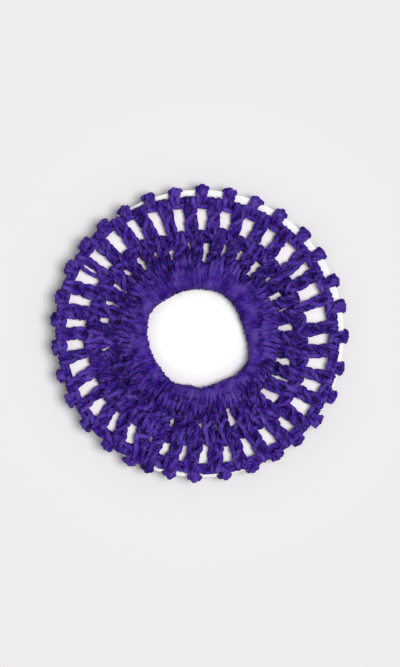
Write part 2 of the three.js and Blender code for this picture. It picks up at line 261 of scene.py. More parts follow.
def way_along(points):
    """How far along its strand each point lies."""
    steps = np.linalg.norm(np.diff(points, axis=0), axis=1)
    return np.concatenate([[0], np.cumsum(steps)])


def smooth(points, step):
    """A smooth curve through the points, as points one step apart."""
    points = np.asarray(points, float)
    ends = np.vstack([2 * points[0] - points[1], points, 2 * points[-1] - points[-2]])
    share = np.linspace(0, 1, CURVE_STEPS + 1)[:-1, None]
    parts = []
    for a, b, c, d in zip(ends[:-3], ends[1:-2], ends[2:-1], ends[3:]):
        square, cube = share**2, share**3
        parts.append(
            b
            + 0.5 * share * (c - a)
            + square * (a - 2.5 * b + 2 * c - 0.5 * d)
            + cube * (-0.5 * a + 1.5 * b - 1.5 * c + 0.5 * d)
        )
    curve = np.vstack([*parts, points[-1:]])
    lengths = way_along(curve[:, :3])
    count = max(4, int(lengths[-1] / step) + 1)
    even = np.linspace(0, lengths[-1], count)
    return np.stack([np.interp(even, lengths, column) for column in curve.T], 1)


def lay(piece, points, radius=YARN_RADIUS):
    """Adds one strand to a piece. radius is one value or one for each point."""
    radii = np.broadcast_to(np.reshape(radius, (-1, 1)), (len(points), 1))
    step = LONG_STEP if piece in LONG_STEPPED else STEP
    path = smooth(np.hstack([points, radii]), step)
    knots = np.arange(len(path) // WOBBLE_STEPS + 2) * WOBBLE_STEPS
    for column in range(3):
        wobble = rng.normal(0, WOBBLE, len(knots)) * np.mean(radius) / YARN_RADIUS
        path[:, column] += np.interp(np.arange(len(path)), knots, wobble)
    strands.append({"piece": piece, "points": path[:, :3], "radius": path[:, 3]})


print("points on a strand of 10 mm:", len(smooth([(0, 0, 0), (10 * MM, 0, 0)], STEP)))

# %% [markdown]
# ## The stitches
# Each post is a double crochet. From its foot two strands come up over the band of the round
# before, run side by side, are crossed by the wrap of the yarn-over half-way, and go on into the
# stitch's head. A thin core fills the middle. One function lays them for every round, and takes
# a function that places a point, so the same stitch works on the front, back and edge.
# A route's points go along from the foot's edge in metres, across from the post's middle line in
# half-widths, and up in yarn radii.

# %% Work a double crochet
FLATNESS = 0.86


def double_crochet(piece, place, band, length, wrap_at=None, core=(-0.35, 0.35), full_core=True):
    """One post. place(along, across, height) gives a point, with across from -1 to 1 and the
    others in metres. band is the width of the band that the foot lies over. core gives the places
    across of the two strands that fill the post. They end at the wrap unless full_core is set."""
    radius = YARN_RADIUS
    shift = rng.normal(0, 0.07, 8)
    rise = rng.normal(0, 0.1, 8)
    wrap_at = band + (wrap_at or rng.uniform(0.34, 0.52)) * (length - band)
    slant = min(rng.uniform(1.2, 1.9) * MM, 0.34 * (length - band))
    near_head = 0.5 * (wrap_at + length)
    loose = rng.uniform() < 0.6

    def work(number, route, thickness=radius):
        points = [
            place(along, across + shift[number], (FLATNESS * height + rise[number]) * radius)
            for along, across, height in route
        ]
        lay(piece, points, thickness)

    def foot(side):
        return [
            (2.0 * radius, 0.6 * side, 0.6), (1.2 * radius, 0.7 * side, 0.8),
            (0.95 * radius, 0.9 * side, 1.7), (1.5 * radius, 1.0 * side, 2.7),
            (max(0.6 * band, 2.4 * radius), 1.0 * side, 3.1),
            (max(band, 3.4 * radius), 1.0 * side, 2.8),
        ]

    def head(side):
        return [
            (near_head, 0.97 * side, 2.15), (length - 0.6 * MM, 0.95 * side, 2.1),
            (length + 1.0 * MM, 0.85 * side, 2.1), (length + 2.6 * MM, 0.65 * side, 1.3),
        ]

    def about_wrap(*places):
        return [(wrap_at + steps * slant, across, height) for steps, across, height in places]

    if loose:
        work(0, foot(-1) + about_wrap((-1, -0.75, 2.75), (0, 0.05, 2.85), (1, 0.8, 2.5)) + head(1))
        under = about_wrap((-0.8, 0.98, 2.1), (0.3, 0.7, 1.3), (1.4, 0.1, 1.1))
        work(1, foot(1) + under + [(length + 1.0 * MM, -0.1, 1.2)])
        work(2, about_wrap((-1.2, -0.6, 0.9), (0, -0.92, 1.7)) + head(-1))
    else:
        for side in (-1, 1):
            number = (side + 1) // 2
            middle = [(0.5 * band + 0.5 * wrap_at, 0.98 * side, 2.2)]
            end = about_wrap((-0.2, 0.8 * side, 1.9), (0.7, 0.45 * side, 1.4))
            work(number, foot(side) + middle + end)
            start = about_wrap((-0.6, 0.35 * side, 1.3), (0.3, 0.75 * side, 1.9))
            work(2 + number, start + head(side))
        wrap = about_wrap(
            (-1.1, -0.9, 0.7), (-0.9, -0.97, 1.5), (-0.4, -0.5, 2.75),
            (0.4, 0.5, 2.75), (0.9, 0.97, 1.5), (1.1, 0.9, 0.7),
        )
        work(4, wrap)
    for number, across in enumerate(core):
        route = [
            (1.6 * radius, 0.6 * across, 1.6), (0.8 * band, 0.85 * across, 1.9),
            (1.2 * band, across, 1.5), (wrap_at, across, 1.1),
        ]
        if full_core:
            route += [(near_head, 1.1 * across, 1.3), (length + 1.5 * MM, across, 1.0)]
        work(6 + number, route, 0.95 * radius)


print("yarn:", round(2 * YARN_RADIUS / MM, 2), "mm thick, lying at", FLATNESS, "of its full height")

# %% [markdown]
# ## Bands of chain
# Between the posts a round is held together by chain stitches. Seen from outside they are two
# strands that cross each other under every foot, so a band is a pair of strands that twist
# round one line, half a turn for each post.

# %% Work a band
LEVELS = (1.0, 1.9)
LOW_STRANDS = (-0.75, 0, 0.75)
LOW_LEVEL = 0.9
WAVE_STEPS = 6
RING_STEP = 3


def chain_band(piece, place, angles, inner, outer, levels=LEVELS, radius=YARN_RADIUS, under=LOW_STRANDS):
    """place(angle, radius, height) gives a point. The pair crosses at each of the angles. levels
    are its lowest and highest place in yarn radii, and under gives the places across of the low
    strands that fill the band."""
    low, high = levels
    angles = np.sort(np.asarray(angles, float))
    after = np.append(angles[1:], angles[0] + FULL_TURN)
    shares = np.linspace(0, 1, WAVE_STEPS + 1)[:-1]
    for which in (0, 1):
        points = []
        for number, (start, end) in enumerate(zip(angles, after)):
            for share in shares:
                angle = start + share * (end - start)
                turn = math.pi * (number + which + share)
                middle = (inner(angle) + outer(angle)) / 2
                spread = max((outer(angle) - inner(angle)) / 2 - radius, 0.3 * radius)
                wave = math.sin(turn) * spread
                lift = (low + high) / 2 + (high - low) / 2 * math.cos(turn)
                jitter = rng.normal(0, 0.06 * radius)
                points.append(place(angle, middle + wave + jitter, lift * radius))
        points.append(points[0])
        lay(piece, points, radius)
    for across in under:
        points = []
        for turn in np.arange(0, FULL_TURN + RING_STEP, RING_STEP):
            middle = (inner(turn) + outer(turn)) / 2
            spread = (outer(turn) - inner(turn)) / 2 - radius
            points.append(place(turn, middle + across * spread, LOW_LEVEL * radius))
        lay(piece, points, radius)


print("strands of a band:", 2 + len(LOW_STRANDS))

# %% [markdown]
# ## A round of mesh
# Each post stands between two gaps, so its middle line, width and lean come from the gaps on its
# two sides. Its foot draws in where there is room, and its corners fill out where it meets a
# band. Where two posts lap, low strands close the gap between them. Evenly spaced copies of one
# post would be quicker, but would look like another snood.

# %% Work a mesh round
SAME_POST = 3
PARTED = {"wrap_at": 0.74, "core": (-0.6, -0.35)}
FOOT_ROOM = (3.5, 4.1)
CORNER_FILL = 0.3 * MM


def edges_between(gaps, share):
    """The two edges of every post, in degrees. share is from -0.5 at the gaps' inner ends to 0.5
    at their outer ends."""
    left = gaps["at"] + gaps["wide"] / 2 + gaps["lean"] * share
    right = np.roll(gaps["at"] - gaps["wide"] / 2 + gaps["lean"] * share, -1)
    right = np.where(right < left - FULL_TURN / 2, right + FULL_TURN, right)
    return left, right


def front_round(piece, gaps, far, near, foot_edge, parted=None):
    """A mesh round of the front, worked from its feet inwards. The post nearest to the direction
    parted has its strands drawn to one side, which leaves a slit."""
    radius = YARN_RADIUS
    outer_left, outer_right = edges_between(gaps, 0.5)
    inner_left, inner_right = edges_between(gaps, -0.5)
    for i in range(len(gaps["at"])):
        foot_angle = (outer_left[i] + outer_right[i]) / 2
        head_angle = (inner_left[i] + inner_right[i]) / 2
        edge = foot_edge(foot_angle)
        length = edge - near(head_angle)
        band = edge - far(foot_angle)
        foot_width = outer_right[i] - outer_left[i]
        head_width = inner_right[i] - inner_left[i]
        foot_room = rng.uniform(*FOOT_ROOM) * MM

        def place(along, across, height):
            radius_here = edge - along
            share = min(max(along / length, 0), 1)
            angle = foot_angle + (head_angle - foot_angle) * share
            width = math.radians(foot_width + (head_width - foot_width) * share) * radius_here
            foot_share = 1 - min(max(along / band - 0.6, 0), 1)
            width += foot_share * (min(foot_room, width) - width)
            corners = math.exp(-(((along - band) / MM) ** 2)) + math.exp(-(((along - length) / MM) ** 2))
            sideways = across * (max(width / 2 - radius, 0.9 * radius) + CORNER_FILL * corners)
            return on_front(angle + math.degrees(sideways / radius_here), radius_here, height)

        is_parted = parted is not None and abs(foot_angle - parted) < SAME_POST
        double_crochet(piece, place, band, length, **(PARTED if is_parted else {}))
        if gaps["wide"][i] < 0:
            shut = gaps["at"][i]
            low = [(near(shut) - 2 * MM, 1.0), (near(shut), 0.8), (far(shut), 0.8), (far(shut) + 2 * MM, 1.0)]
            for side in (-1, 1):
                turn = shut + side * math.degrees(0.7 * radius / far(shut))
                lay(piece, [on_front(turn, reach, height * radius) for reach, height in low], radius)


print("room for a foot:", FOOT_ROOM, "mm")

# %% [markdown]
# ## The outer mesh
# The 34 long gaps are what one sees first. One post, at the upper left, has its strands drawn
# apart, so that a slit shows in it.

# %% Work the outer mesh
PARTED_POST = 148.8

front_round("outer_mesh_yarn", OUTER_GAPS, outer_far, outer_near, rim_edge, PARTED_POST)
outer_posts = np.add(*edges_between(OUTER_GAPS, -0.5)) / 2
chain_band("outer_mesh_yarn", on_front, outer_posts, inner_far, outer_near)
print("strands so far:", len(strands))

# %% [markdown]
# ## The inner mesh
# The same stitch, gathered closer, so that many of its gaps have closed. Its band lies deep
# between the posts and the mouth, so a fourth low strand keeps the disc from glinting through.

# %% Work the inner mesh
MOUTH_ROUND_RADIUS = 26.9 * MM
MOUTH_BAND = 24.3 * MM
INNER_LOW_STRANDS = (-0.8, -0.25, 0.3, 0.85)

front_round("inner_mesh_yarn", INNER_GAPS, inner_far, inner_near, outer_near)
inner_posts = np.add(*edges_between(INNER_GAPS, -0.5)) / 2
chain_band(
    "inner_mesh_yarn",
    on_front,
    inner_posts,
    lambda angle: min(inner_near(angle) - 4.0 * MM, MOUTH_BAND),
    inner_near,
    under=INNER_LOW_STRANDS,
)
print("strands so far:", len(strands))

# %% [markdown]
# ## The rim
# These posts wrap from the back round the disc's edge to the front, and from above only their
# ends show, as knobs. A thick strand along each post fills its knob, and a short cap across it
# gives the blunt head. Then a band on the front joins the posts.

# %% Work the rim
CROWN_EDGE = 45 * MM
CROWN_BAND = 3.2 * MM
RIM_HALF_WIDTH = 2.1 * MM
RIM_FLARE = 1.2
RIM_BAND_YARN = 0.95 * MM
KNOB_YARN = 1.22 * MM
CAP = [(-2.2, -0.5), (-1.4, 0.05), (0, 0.15), (1.4, 0.05), (2.2, -0.5)]
CAP_RUN = 1.4 * MM
CAP_YARN = 0.8 * MM
EDGE_WIDTH = 2.8 * MM
LOOSE_BEFORE = -6 * MM
RIM_LEVELS = (0.95, 1.7)

for angle, reach in zip(RIM_POSTS["at"], RIM_POSTS["reach"] * MM):
    foot_run = -(DISC_THICKNESS / 2 + CORNER_RUN + DISC_RADIUS - CROWN_EDGE + CROWN_BAND)
    head_run = DISC_THICKNESS / 2 + CORNER_RUN + DISC_RADIUS - rim_edge(angle)
    tilt = rng.normal(0, 1.0)

    def place(along, across, height):
        run = foot_run + along
        nearness = math.exp(-((run / EDGE_WIDTH) ** 2))
        spread = RIM_HALF_WIDTH * (1 + (RIM_FLARE - 1) * nearness) - YARN_RADIUS
        share = along / (head_run - foot_run)
        turn = math.degrees(across * spread / DISC_RADIUS) + tilt * (share - 0.5)
        looseness = BACK_LOOSENESS if run < LOOSE_BEFORE else 1
        over_edge = reach - YARN_RADIUS * (1.2 - 0.25 * across**2)
        level = height + (over_edge - height) * min(1, 1.1 * nearness)
        return round_edge(angle + turn, run, looseness * level)

    length = head_run - foot_run
    double_crochet("rim_yarn", place, CROWN_BAND, length, wrap_at=0.3, full_core=False)
    knob = [
        (foot_run + 7 * MM, 0.0, 1.2), (-4.5 * MM, 0.1, 1.6), (0, 0.0, 1.6), (3 * MM, 0.1, 2.0),
        (head_run - 2.2 * MM, 0.0, 2.4), (head_run - 0.4 * MM, -0.1, 2.3), (head_run + 1 * MM, 0.0, 1.0),
    ]
    sway = rng.normal(0, 0.12)
    points = [place(run - foot_run, across + sway, height * YARN_RADIUS) for run, across, height in knob]
    lay("rim_yarn", points, KNOB_YARN)
    cap_level = reach - CAP_YARN
    points = [
        round_edge(angle + math.degrees(way * MM / DISC_RADIUS), CAP_RUN, cap_level + rise * MM)
        for way, rise in CAP
    ]
    lay("rim_yarn", points, CAP_YARN)
chain_band("rim_yarn", on_front, outer_posts, outer_far, rim_edge, RIM_LEVELS, RIM_BAND_YARN)
print("strands so far:", len(strands))

# %% [markdown]
# ## The mouth
# The last round is worked close together over an elastic, which pulls it into a thick roll. Its
# strands lie side by side like spokes and turn down inside the mouth. A ring with a striped bump
# would be lighter, but its edge would be too smooth.

# %% Work the mouth
MOUTH_STRANDS = 176
MOUTH_HEIGHT = 5.6 * MM
MOUTH_FULLNESS = 1.4
SPOKE_ROOM = math.pi / MOUTH_STRANDS * MOUTH_FULLNESS


def waves(angle, phases):
    """A slow irregular wave round the mouth, from about -1 to 1."""
    turn = np.radians(angle)
    return sum(math.sin(turn * (2 + n) + phase) for n, phase in enumerate(phases)) / 2.2


slants = rng.uniform(0, 2 * math.pi, 4)
swells = rng.uniform(0, 2 * math.pi, 5)
pitch = FULL_TURN / MOUTH_STRANDS
for i in range(MOUTH_STRANDS):
    angle = i * pitch + rng.normal(0, 0.14) * pitch
    edge = mouth_at(angle) + rng.normal(0, 0.12 * MM)
    width = MOUTH_ROUND_RADIUS - rng.uniform(1.6 * MM, 3.4 * MM) - edge
    slant = 2.5 * waves(angle, slants) + rng.normal(0, 0.5)
    top = MOUTH_HEIGHT + 0.35 * MM * waves(angle, swells) + rng.normal(0, 0.05 * MM)
    spoke = [
        (0.9, 1.6 * MM), (1, 2.5 * MM), (0.95, 3.4 * MM), (0.75, top - 1.3 * MM),
        (0.5, top - 0.75 * MM), (0.3, top - 0.55 * MM), (0.12, top - 1.4 * MM),
        (0.07, 0.45 * top), (0.11, 0.85 * MM), (0.3, 0.8 * MM),
    ]
    points = [
        on_front(angle + slant * (share - 0.2), edge + share * width, height) for share, height in spoke
    ]
    lay("mouth_yarn", points, [SPOKE_ROOM * (edge + share * width) for share, _ in spoke])
print("spokes of the mouth:", MOUTH_STRANDS)

# %% [markdown]
# ## The feet of the mouth round
# Outside the roll, each stitch has two legs that come up over the band of the inner mesh and
# lean in over the spokes. Five rings of yarn fill the roll, so that nothing shows through.

# %% Work the feet of the mouth round
MOUTH_STITCHES = 51
FOOT_YARN = 0.78 * MM
MOUTH_CORE = [(20.6, 1.0), (22.2, 1.0), (21.2, 3.2), (22.6, 2.9), (23.8, 2.0)]
CORE_STEP = 4
LEG = [
    (0.25, 0.5, 0.8), (0.06, 0.7, 0.9), (-0.02, 0.9, 1.9), (0.12, 1.05, 2.8),
    (0.4, 1.1, 3.5), (0.7, 0.9, 4.0), (0.95, 0.6, 4.3), (1.2, 0.5, 3.6),
]

for radius, height in MOUTH_CORE:
    turns = range(0, FULL_TURN + CORE_STEP, CORE_STEP)
    lay("mouth_yarn", [on_front(turn, radius * MM, height * MM) for turn in turns])

pitch = FULL_TURN / MOUTH_STITCHES
for i in range(MOUTH_STITCHES):
    angle = (i + rng.normal(0, 0.1)) * pitch
    foot = min(MOUTH_ROUND_RADIUS + rng.uniform(0.2 * MM, 1.6 * MM), inner_near(angle) - 0.6 * MM)
    head = foot - rng.uniform(4.6 * MM, 6.4 * MM)
    slant = 2.5 * waves(angle, slants) + rng.normal(0, 1.0)
    for side in (-1, 1):
        open_by = 0.26 * pitch * side
        points = []
        for share, across, height in LEG:
            turn = angle + open_by * across + slant * share
            rise = height * MM + rng.normal(0, 0.06 * MM)
            points.append(on_front(turn, foot + (head - foot) * share, rise))
        lay("mouth_yarn", points, FOOT_YARN)
print("strands so far:", len(strands))

# %% [markdown]
# ## The back
# The bag starts in the middle of its back with a closed ring, and grows by two open rounds. The
# picture doesn't show it, so it is worked plainly, with the same stitches.

# %% Work the back
CROWN_RING = 13.5 * MM
CROWN_MIDDLE = 29 * MM
CROWN_POSTS = 17
CROWN_HALF_WIDTH = 1.9 * MM
PAIR_OPENING = 2.2
PAIR_SPREAD = 0.4 * MM


def back_post(piece, angle, foot_radius, head_radius, spread=0):
    """A post of the back, worked outwards."""

    def place(along, across, height):
        radius = foot_radius - CROWN_BAND + along
        share = along / (head_radius - foot_radius + CROWN_BAND)
        sideways = across * (CROWN_HALF_WIDTH - YARN_RADIUS)
        turn = math.degrees(sideways / radius) + math.degrees(spread / head_radius) * share
        return on_back(angle + turn, radius, height)

    double_crochet(piece, place, CROWN_BAND, head_radius - foot_radius + CROWN_BAND)


def back_band(piece, angles, edge):
    """A band of the back that ends at the radius edge."""
    chain_band(piece, on_back, angles, lambda angle: edge - CROWN_BAND, lambda angle: edge)


pitch = FULL_TURN / CROWN_POSTS
for i in range(CROWN_POSTS):
    back_post("crown_inner_yarn", (i + 0.5) * pitch, CROWN_RING, CROWN_MIDDLE - CROWN_BAND)
    for side in (-1, 1):
        angle = i * pitch + side * PAIR_OPENING
        back_post("crown_outer_yarn", angle, CROWN_MIDDLE, CROWN_EDGE - CROWN_BAND, side * PAIR_SPREAD)
back_band("crown_inner_yarn", (np.arange(CROWN_POSTS) + 0.5) * pitch, CROWN_MIDDLE)
back_band("crown_outer_yarn", np.arange(2 * CROWN_POSTS) * pitch / 2, CROWN_EDGE)
print("strands so far:", len(strands))

# %% [markdown]
# ## The crown's start
# A crocheted bag starts with a small ring of stitches drawn nearly closed. Short posts stand so
# close together here that they touch, and a band finishes them off.

# %% Work the crown's start
START_HOLE = 2.2 * MM
START_BAND = 1.6 * MM
START_LENGTH = 8.2 * MM

for i in range(CROWN_POSTS):
    angle = i * pitch

    def place(along, across, height):
        radius = START_HOLE + along
        room = math.pi * radius / CROWN_POSTS
        sideways = across * max(room - YARN_RADIUS, 0.1 * MM)
        return on_back(angle + math.degrees(sideways / radius), radius, height)

    double_crochet("crown_ring_yarn", place, START_BAND, START_LENGTH)
back_band("crown_ring_yarn", np.arange(CROWN_POSTS) * pitch, CROWN_RING)
total = sum(way_along(strand["points"])[-1] for strand in strands)
print("strands:", len(strands), "yarn:", round(total, 2), "m")

# %% [markdown]
# ## Settling the strands
# Laid like this, strands still run into each other. Real yarn gives way, so points that are
# closer than two strands can be are pushed apart, a few times over, and the shifts are smoothed
# along each strand. The disc and the floor push back. A simulation could do this, but not for a
# thousand strands in seconds. Each point also notes how deep it lies under others, and shade is
# painted into the yarn's colour there. Painted shade also goes into the valley between the mouth
# and the outer mesh, and painted light onto the top of the mouth's roll.

# %% Push strands apart
SETTLE_STEPS = 12
CLOSEST = 0.78
PAIR_STEPS = 4
PAIR_REACH = 2.1
SAME_STRAND_STEPS = 6
MOST_SLIDE = 0.14 * MM
OFF_DISC = 0.85
OFF_FLOOR = 1.15
LEVEL_ENOUGH = 0.25
# Painted shade of the yarn: full this deep under others, more in the valley outside the mouth, and painted
# light on the mouth's roll.
DEEP = 4.0
VALLEY_RADIUS = 31 * MM
VALLEY_WIDTH = 5 * MM
VALLEY_PAINTED_SHADE = 0.2
ROLL_RADIUS = 19.5 * MM
ROLL_WIDTH = 3.5 * MM
ROLL_PAINTED_LIGHT = 0.06


def close_pairs(points, owner):
    """Pairs of points that are near each other and aren't neighbours on one strand."""
    tree = kdtree.KDTree(len(points))
    for i, point in enumerate(points):
        tree.insert(point, i)
    tree.balance()
    pairs = [
        (i, j)
        for i, point in enumerate(points)
        for _, j, _ in tree.find_range(point, PAIR_REACH * YARN_RADIUS)
        if j > i
    ]
    a, b = np.array(pairs).T
    apart = (owner[a] != owner[b]) | (np.abs(a - b) > SAME_STRAND_STEPS)
    return a[apart], b[apart]


def hold(points, laid, radii):
    """Keeps the points near where they were laid and outside the disc and the floor. Returns
    their distances from the middle."""
    slide = points[:, :2] - laid[:, :2]
    slid = np.maximum(np.linalg.norm(slide, axis=1), MOST_SLIDE)[:, None]
    points[:, :2] = laid[:, :2] + slide * MOST_SLIDE / slid
    reach = np.hypot(points[:, 0], points[:, 1])
    over = (reach < DISC_RADIUS) & (points[:, 2] > centre.z)
    under = (reach < DISC_RADIUS) & (points[:, 2] <= centre.z)
    points[over, 2] = np.maximum(points[over, 2], disc_high.z + OFF_DISC * radii[over])
    points[under, 2] = np.minimum(points[under, 2], disc_low.z - OFF_DISC * radii[under])
    points[:, 2] = np.maximum(points[:, 2], OFF_FLOOR * radii)
    return reach


def settle():
    """Moves the strands' points apart and notes how deep each lies under others, as painted shade, adding
    painted shade in the valley outside the mouth and painted light on its roll.
    """
    points = np.vstack([s["points"] for s in strands])
    sizes = [len(s["points"]) for s in strands]
    radii = np.concatenate([s["radius"] for s in strands])
    owner = np.repeat(np.arange(len(strands)), sizes)
    laid = points.copy()
    starts = np.concatenate([[0], np.cumsum(sizes)])
    for step in range(SETTLE_STEPS):
        if step % PAIR_STEPS == 0:
            a, b = close_pairs(points, owner)
        gap = points[b] - points[a]
        distance = np.maximum(np.linalg.norm(gap, axis=1), 1e-7)
        short = np.maximum(CLOSEST * (radii[a] + radii[b]) - distance, 0)
        push = gap * (short / distance / 2)[:, None]
        shift = np.zeros_like(points)
        weight = np.ones(len(points))
        np.add.at(shift, a, -push)
        np.add.at(shift, b, push)
        np.add.at(weight, a, short > 0)
        np.add.at(weight, b, short > 0)
        shift /= np.sqrt(weight)[:, None]
        for start, end in zip(starts[:-1], starts[1:]):
            part = shift[start:end]
            padded = np.vstack([part[:1], part, part[-1:]])
            shift[start:end] = 0.5 * part + 0.25 * (padded[:-2] + padded[2:])
        points += shift
        reach = hold(points, laid, radii)
    # How far each point lies under its neighbours becomes painted shade in the yarn's colour.
    height = np.maximum(np.abs(points[:, 2] - centre.z) - DISC_THICKNESS / 2, reach - DISC_RADIUS)
    above = (height[b] - height[a]) / np.maximum(distance, radii[a])
    depth = np.zeros(len(points))
    np.add.at(depth, a, np.maximum(above - LEVEL_ENOUGH, 0))
    np.add.at(depth, b, np.maximum(-above - LEVEL_ENOUGH, 0))
    # Painted shade in the valley between the mouth and the outer mesh, and painted light on the top of the
    # mouth's roll.
    painted_shade_by_radius = VALLEY_PAINTED_SHADE * np.exp(-(((reach - VALLEY_RADIUS) / VALLEY_WIDTH) ** 2))
    painted_shade_by_radius -= ROLL_PAINTED_LIGHT * np.exp(-(((reach - ROLL_RADIUS) / ROLL_WIDTH) ** 2))
    for strand, start, end in zip(strands, starts[:-1], starts[1:]):
        strand["points"] = points[start:end]
        smoothed = np.convolve(np.pad(depth[start:end], 2, mode="edge"), np.ones(5) / 5, "valid")
        strand["depth"] = np.minimum(smoothed / DEEP, 1) + painted_shade_by_radius[start:end]
    return len(a), round(float(short.max() / MM), 2)


print("pairs, and deepest overlap left in mm:", settle())

# %% [markdown]
# ## From strand to yarn
# The yarn is spun from three plies. Each cross-section is a ring with three soft lobes, which
# turn along the strand and give the fine slanting grooves. The map of each tube holds the way
# round it, turned with the plies, and the way along, and the fibres are drawn on it later.

# %% Spin tubes
RING = 12
PLIES = 3
PLY_DEPTH = 0.2
TWIST_LENGTH = 7.5 * MM
LUMP_LENGTH = 1.2 * MM
LUMPINESS = 0.07
END_TAPER = 0.45
FIRST_UP = (0.3, 0.2, 1.0)


def unit(vectors):
    """The vectors, brought to a length of 1."""
    return vectors / np.linalg.norm(vectors, axis=1)[:, None]


def directions_across(points):
    """Two directions across a strand at each of its points, which don't spin along it."""
    ahead = unit(np.gradient(points, axis=0))
    side = np.cross(ahead[0], FIRST_UP)
    sides = []
    for direction in ahead:
        side = side - direction * side.dot(direction)
        side /= np.linalg.norm(side)
        sides.append(side)
    sides = np.array(sides)
    return sides, np.cross(ahead, sides)


def tube_faces(count, sides):
    """The four corners of every face between count rings."""
    corner = np.arange(sides)
    after = (corner + 1) % sides
    row = np.arange(count - 1)[:, None] * sides
    return np.stack([row + corner, row + after, row + sides + after, row + sides + corner], -1)


def spin(points, radius, start_turn):
    """Rings, faces and map of one strand, with narrowed ends."""
    sides, ups = directions_across(points)
    along = way_along(points)
    around = np.arange(RING) * 2 * math.pi / RING
    turn = start_turn + 2 * math.pi * along / TWIST_LENGTH
    lumps = rng.normal(1, LUMPINESS, int(along[-1] / LUMP_LENGTH) + 2)
    radius = radius * np.interp(along / LUMP_LENGTH, np.arange(len(lumps)), lumps)
    lobes = 1 - PLY_DEPTH * (0.5 - 0.5 * np.cos(PLIES * (around[None, :] - turn[:, None])))
    taper = np.ones(len(points))
    taper[[0, -1]] = END_TAPER
    reach = (radius * taper)[:, None] * lobes
    rings = (
        points[:, None]
        + reach[..., None] * np.cos(around)[None, :, None] * sides[:, None]
        + reach[..., None] * np.sin(around)[None, :, None] * ups[:, None]
    )
    u = np.arange(RING) / RING - turn[:, None] / (2 * math.pi)
    v = np.repeat(along[:, None], RING, 1) / TWIST_LENGTH
    corners = [(u[:-1], v[:-1]), (u[:-1] + 1 / RING, v[:-1]), (u[1:] + 1 / RING, v[1:]), (u[1:], v[1:])]
    uv = np.stack([np.stack(corner, -1) for corner in corners], 2)
    return rings, tube_faces(len(points), RING).reshape(-1, 4), uv.reshape(-1, 2)


print("faces of a tube of 20 rings:", tube_faces(20, RING).size // 4)

# %% [markdown]
# ## From tubes to pieces
# All the strands of a round become one mesh, which stands for one solid of the model. The mesh
# is filled from arrays, which is far faster than joining a thousand objects. Each strand gets a
# shade of its own, as yarn that was dyed in the hank has.

# %% Gather the tubes of a piece
STRAND_SHADE = 0.18
STANDS_FOR = {
    "crown_ring_yarn": "crown_ring",
    "crown_inner_yarn": "crown_mesh_inner",
    "crown_outer_yarn": "crown_mesh_outer",
    "rim_yarn": "rim_round",
    "outer_mesh_yarn": "outer_mesh",
    "inner_mesh_yarn": "inner_mesh",
    "mouth_yarn": "mouth_round",
}


def mesh_piece(name, vertices, groups, maps, shade_and_tone_values):
    """A mesh object from arrays. Each group holds faces with one number of corners."""
    mesh = bpy.data.meshes.new(name)
    loops = np.concatenate([group.ravel() for group in groups])
    sizes = np.concatenate([np.full(len(group), group.shape[1]) for group in groups])
    starts = np.concatenate([[0], np.cumsum(sizes)[:-1]])
    mesh.vertices.add(len(vertices))
    mesh.vertices.foreach_set("co", vertices.astype(np.float32).ravel())
    mesh.loops.add(len(loops))
    mesh.loops.foreach_set("vertex_index", loops.astype(np.int32))
    mesh.polygons.add(len(sizes))
    mesh.polygons.foreach_set("loop_start", starts.astype(np.int32))
    layer = mesh.uv_layers.new(name="strand")
    layer.data.foreach_set("uv", np.vstack(maps).astype(np.float32).ravel())
    # The attribute holds each point's painted shade, below nought where light is painted, and the random tone
    # of its strand.
    mesh.attributes.new("depth", "FLOAT", "POINT").data.foreach_set("value", shade_and_tone_values.astype(np.float32))
    mesh.polygons.foreach_set("use_smooth", np.ones(len(sizes), bool))
    mesh.update(calc_edges=True)
    mesh.validate()
    piece = bpy.data.objects.new(name, mesh)
    bpy.context.scene.collection.objects.link(piece)
    print(name, "triangles:", int((sizes - 2).sum()))
    return piece


def build_piece(name):
    """One mesh of all the strands of a piece."""
    vertices, quads, maps, caps, shade_and_tone_values = [], [], [], [], []
    base = 0
    for strand in strands:
        if strand["piece"] != name:
            continue
        start = rng.uniform(0, 2 * math.pi)
        rings, faces, uv = spin(strand["points"], strand["radius"], start)
        strand["rings"] = rings
        vertices.append(rings.reshape(-1, 3))
        quads.append(faces + base)
        maps.append(uv)
        # Each strand's painted shade, with a random tone of its own added.
        shade_and_tone_values.append(np.repeat(strand["depth"] + rng.normal(0, STRAND_SHADE), RING))
        last = base + (len(rings) - 1) * RING
        caps += [base + np.arange(RING)[::-1], last + np.arange(RING)]
        base = last + RING
    maps.append(np.zeros((len(caps) * RING, 2)))
    groups = [np.vstack(quads), np.array(caps)]
    return mesh_piece(name, np.vstack(vertices), groups, maps, np.concatenate(shade_and_tone_values))


pieces = {name: build_piece(name) for name in STANDS_FOR}

# %% [markdown]
# ## Fuzz
# Loose fibres stand off the yarn everywhere. One can't tell them apart at this distance, but
# they soften every outline. Blender's hair could do it, but plain mesh is kept here, so thin
# three-sided hairs are grown from the strands. Their colour is painted paler than the yarn's, for
# the light that comes through them.

# %% Grow the fuzz
HAIRS = 10000
HAIR_WIDTH = 0.06 * MM
LONGEST_HAIR = 1.7 * MM
HAIR_SIDES = 3
HAIR_STEPS = 3
HAIR_TAPER = 0.6
OUTWARDS = 0.55
MOST_LEAN = 1.2
MOST_CURL = 0.8
ABOVE_FLOOR = 0.1 * MM


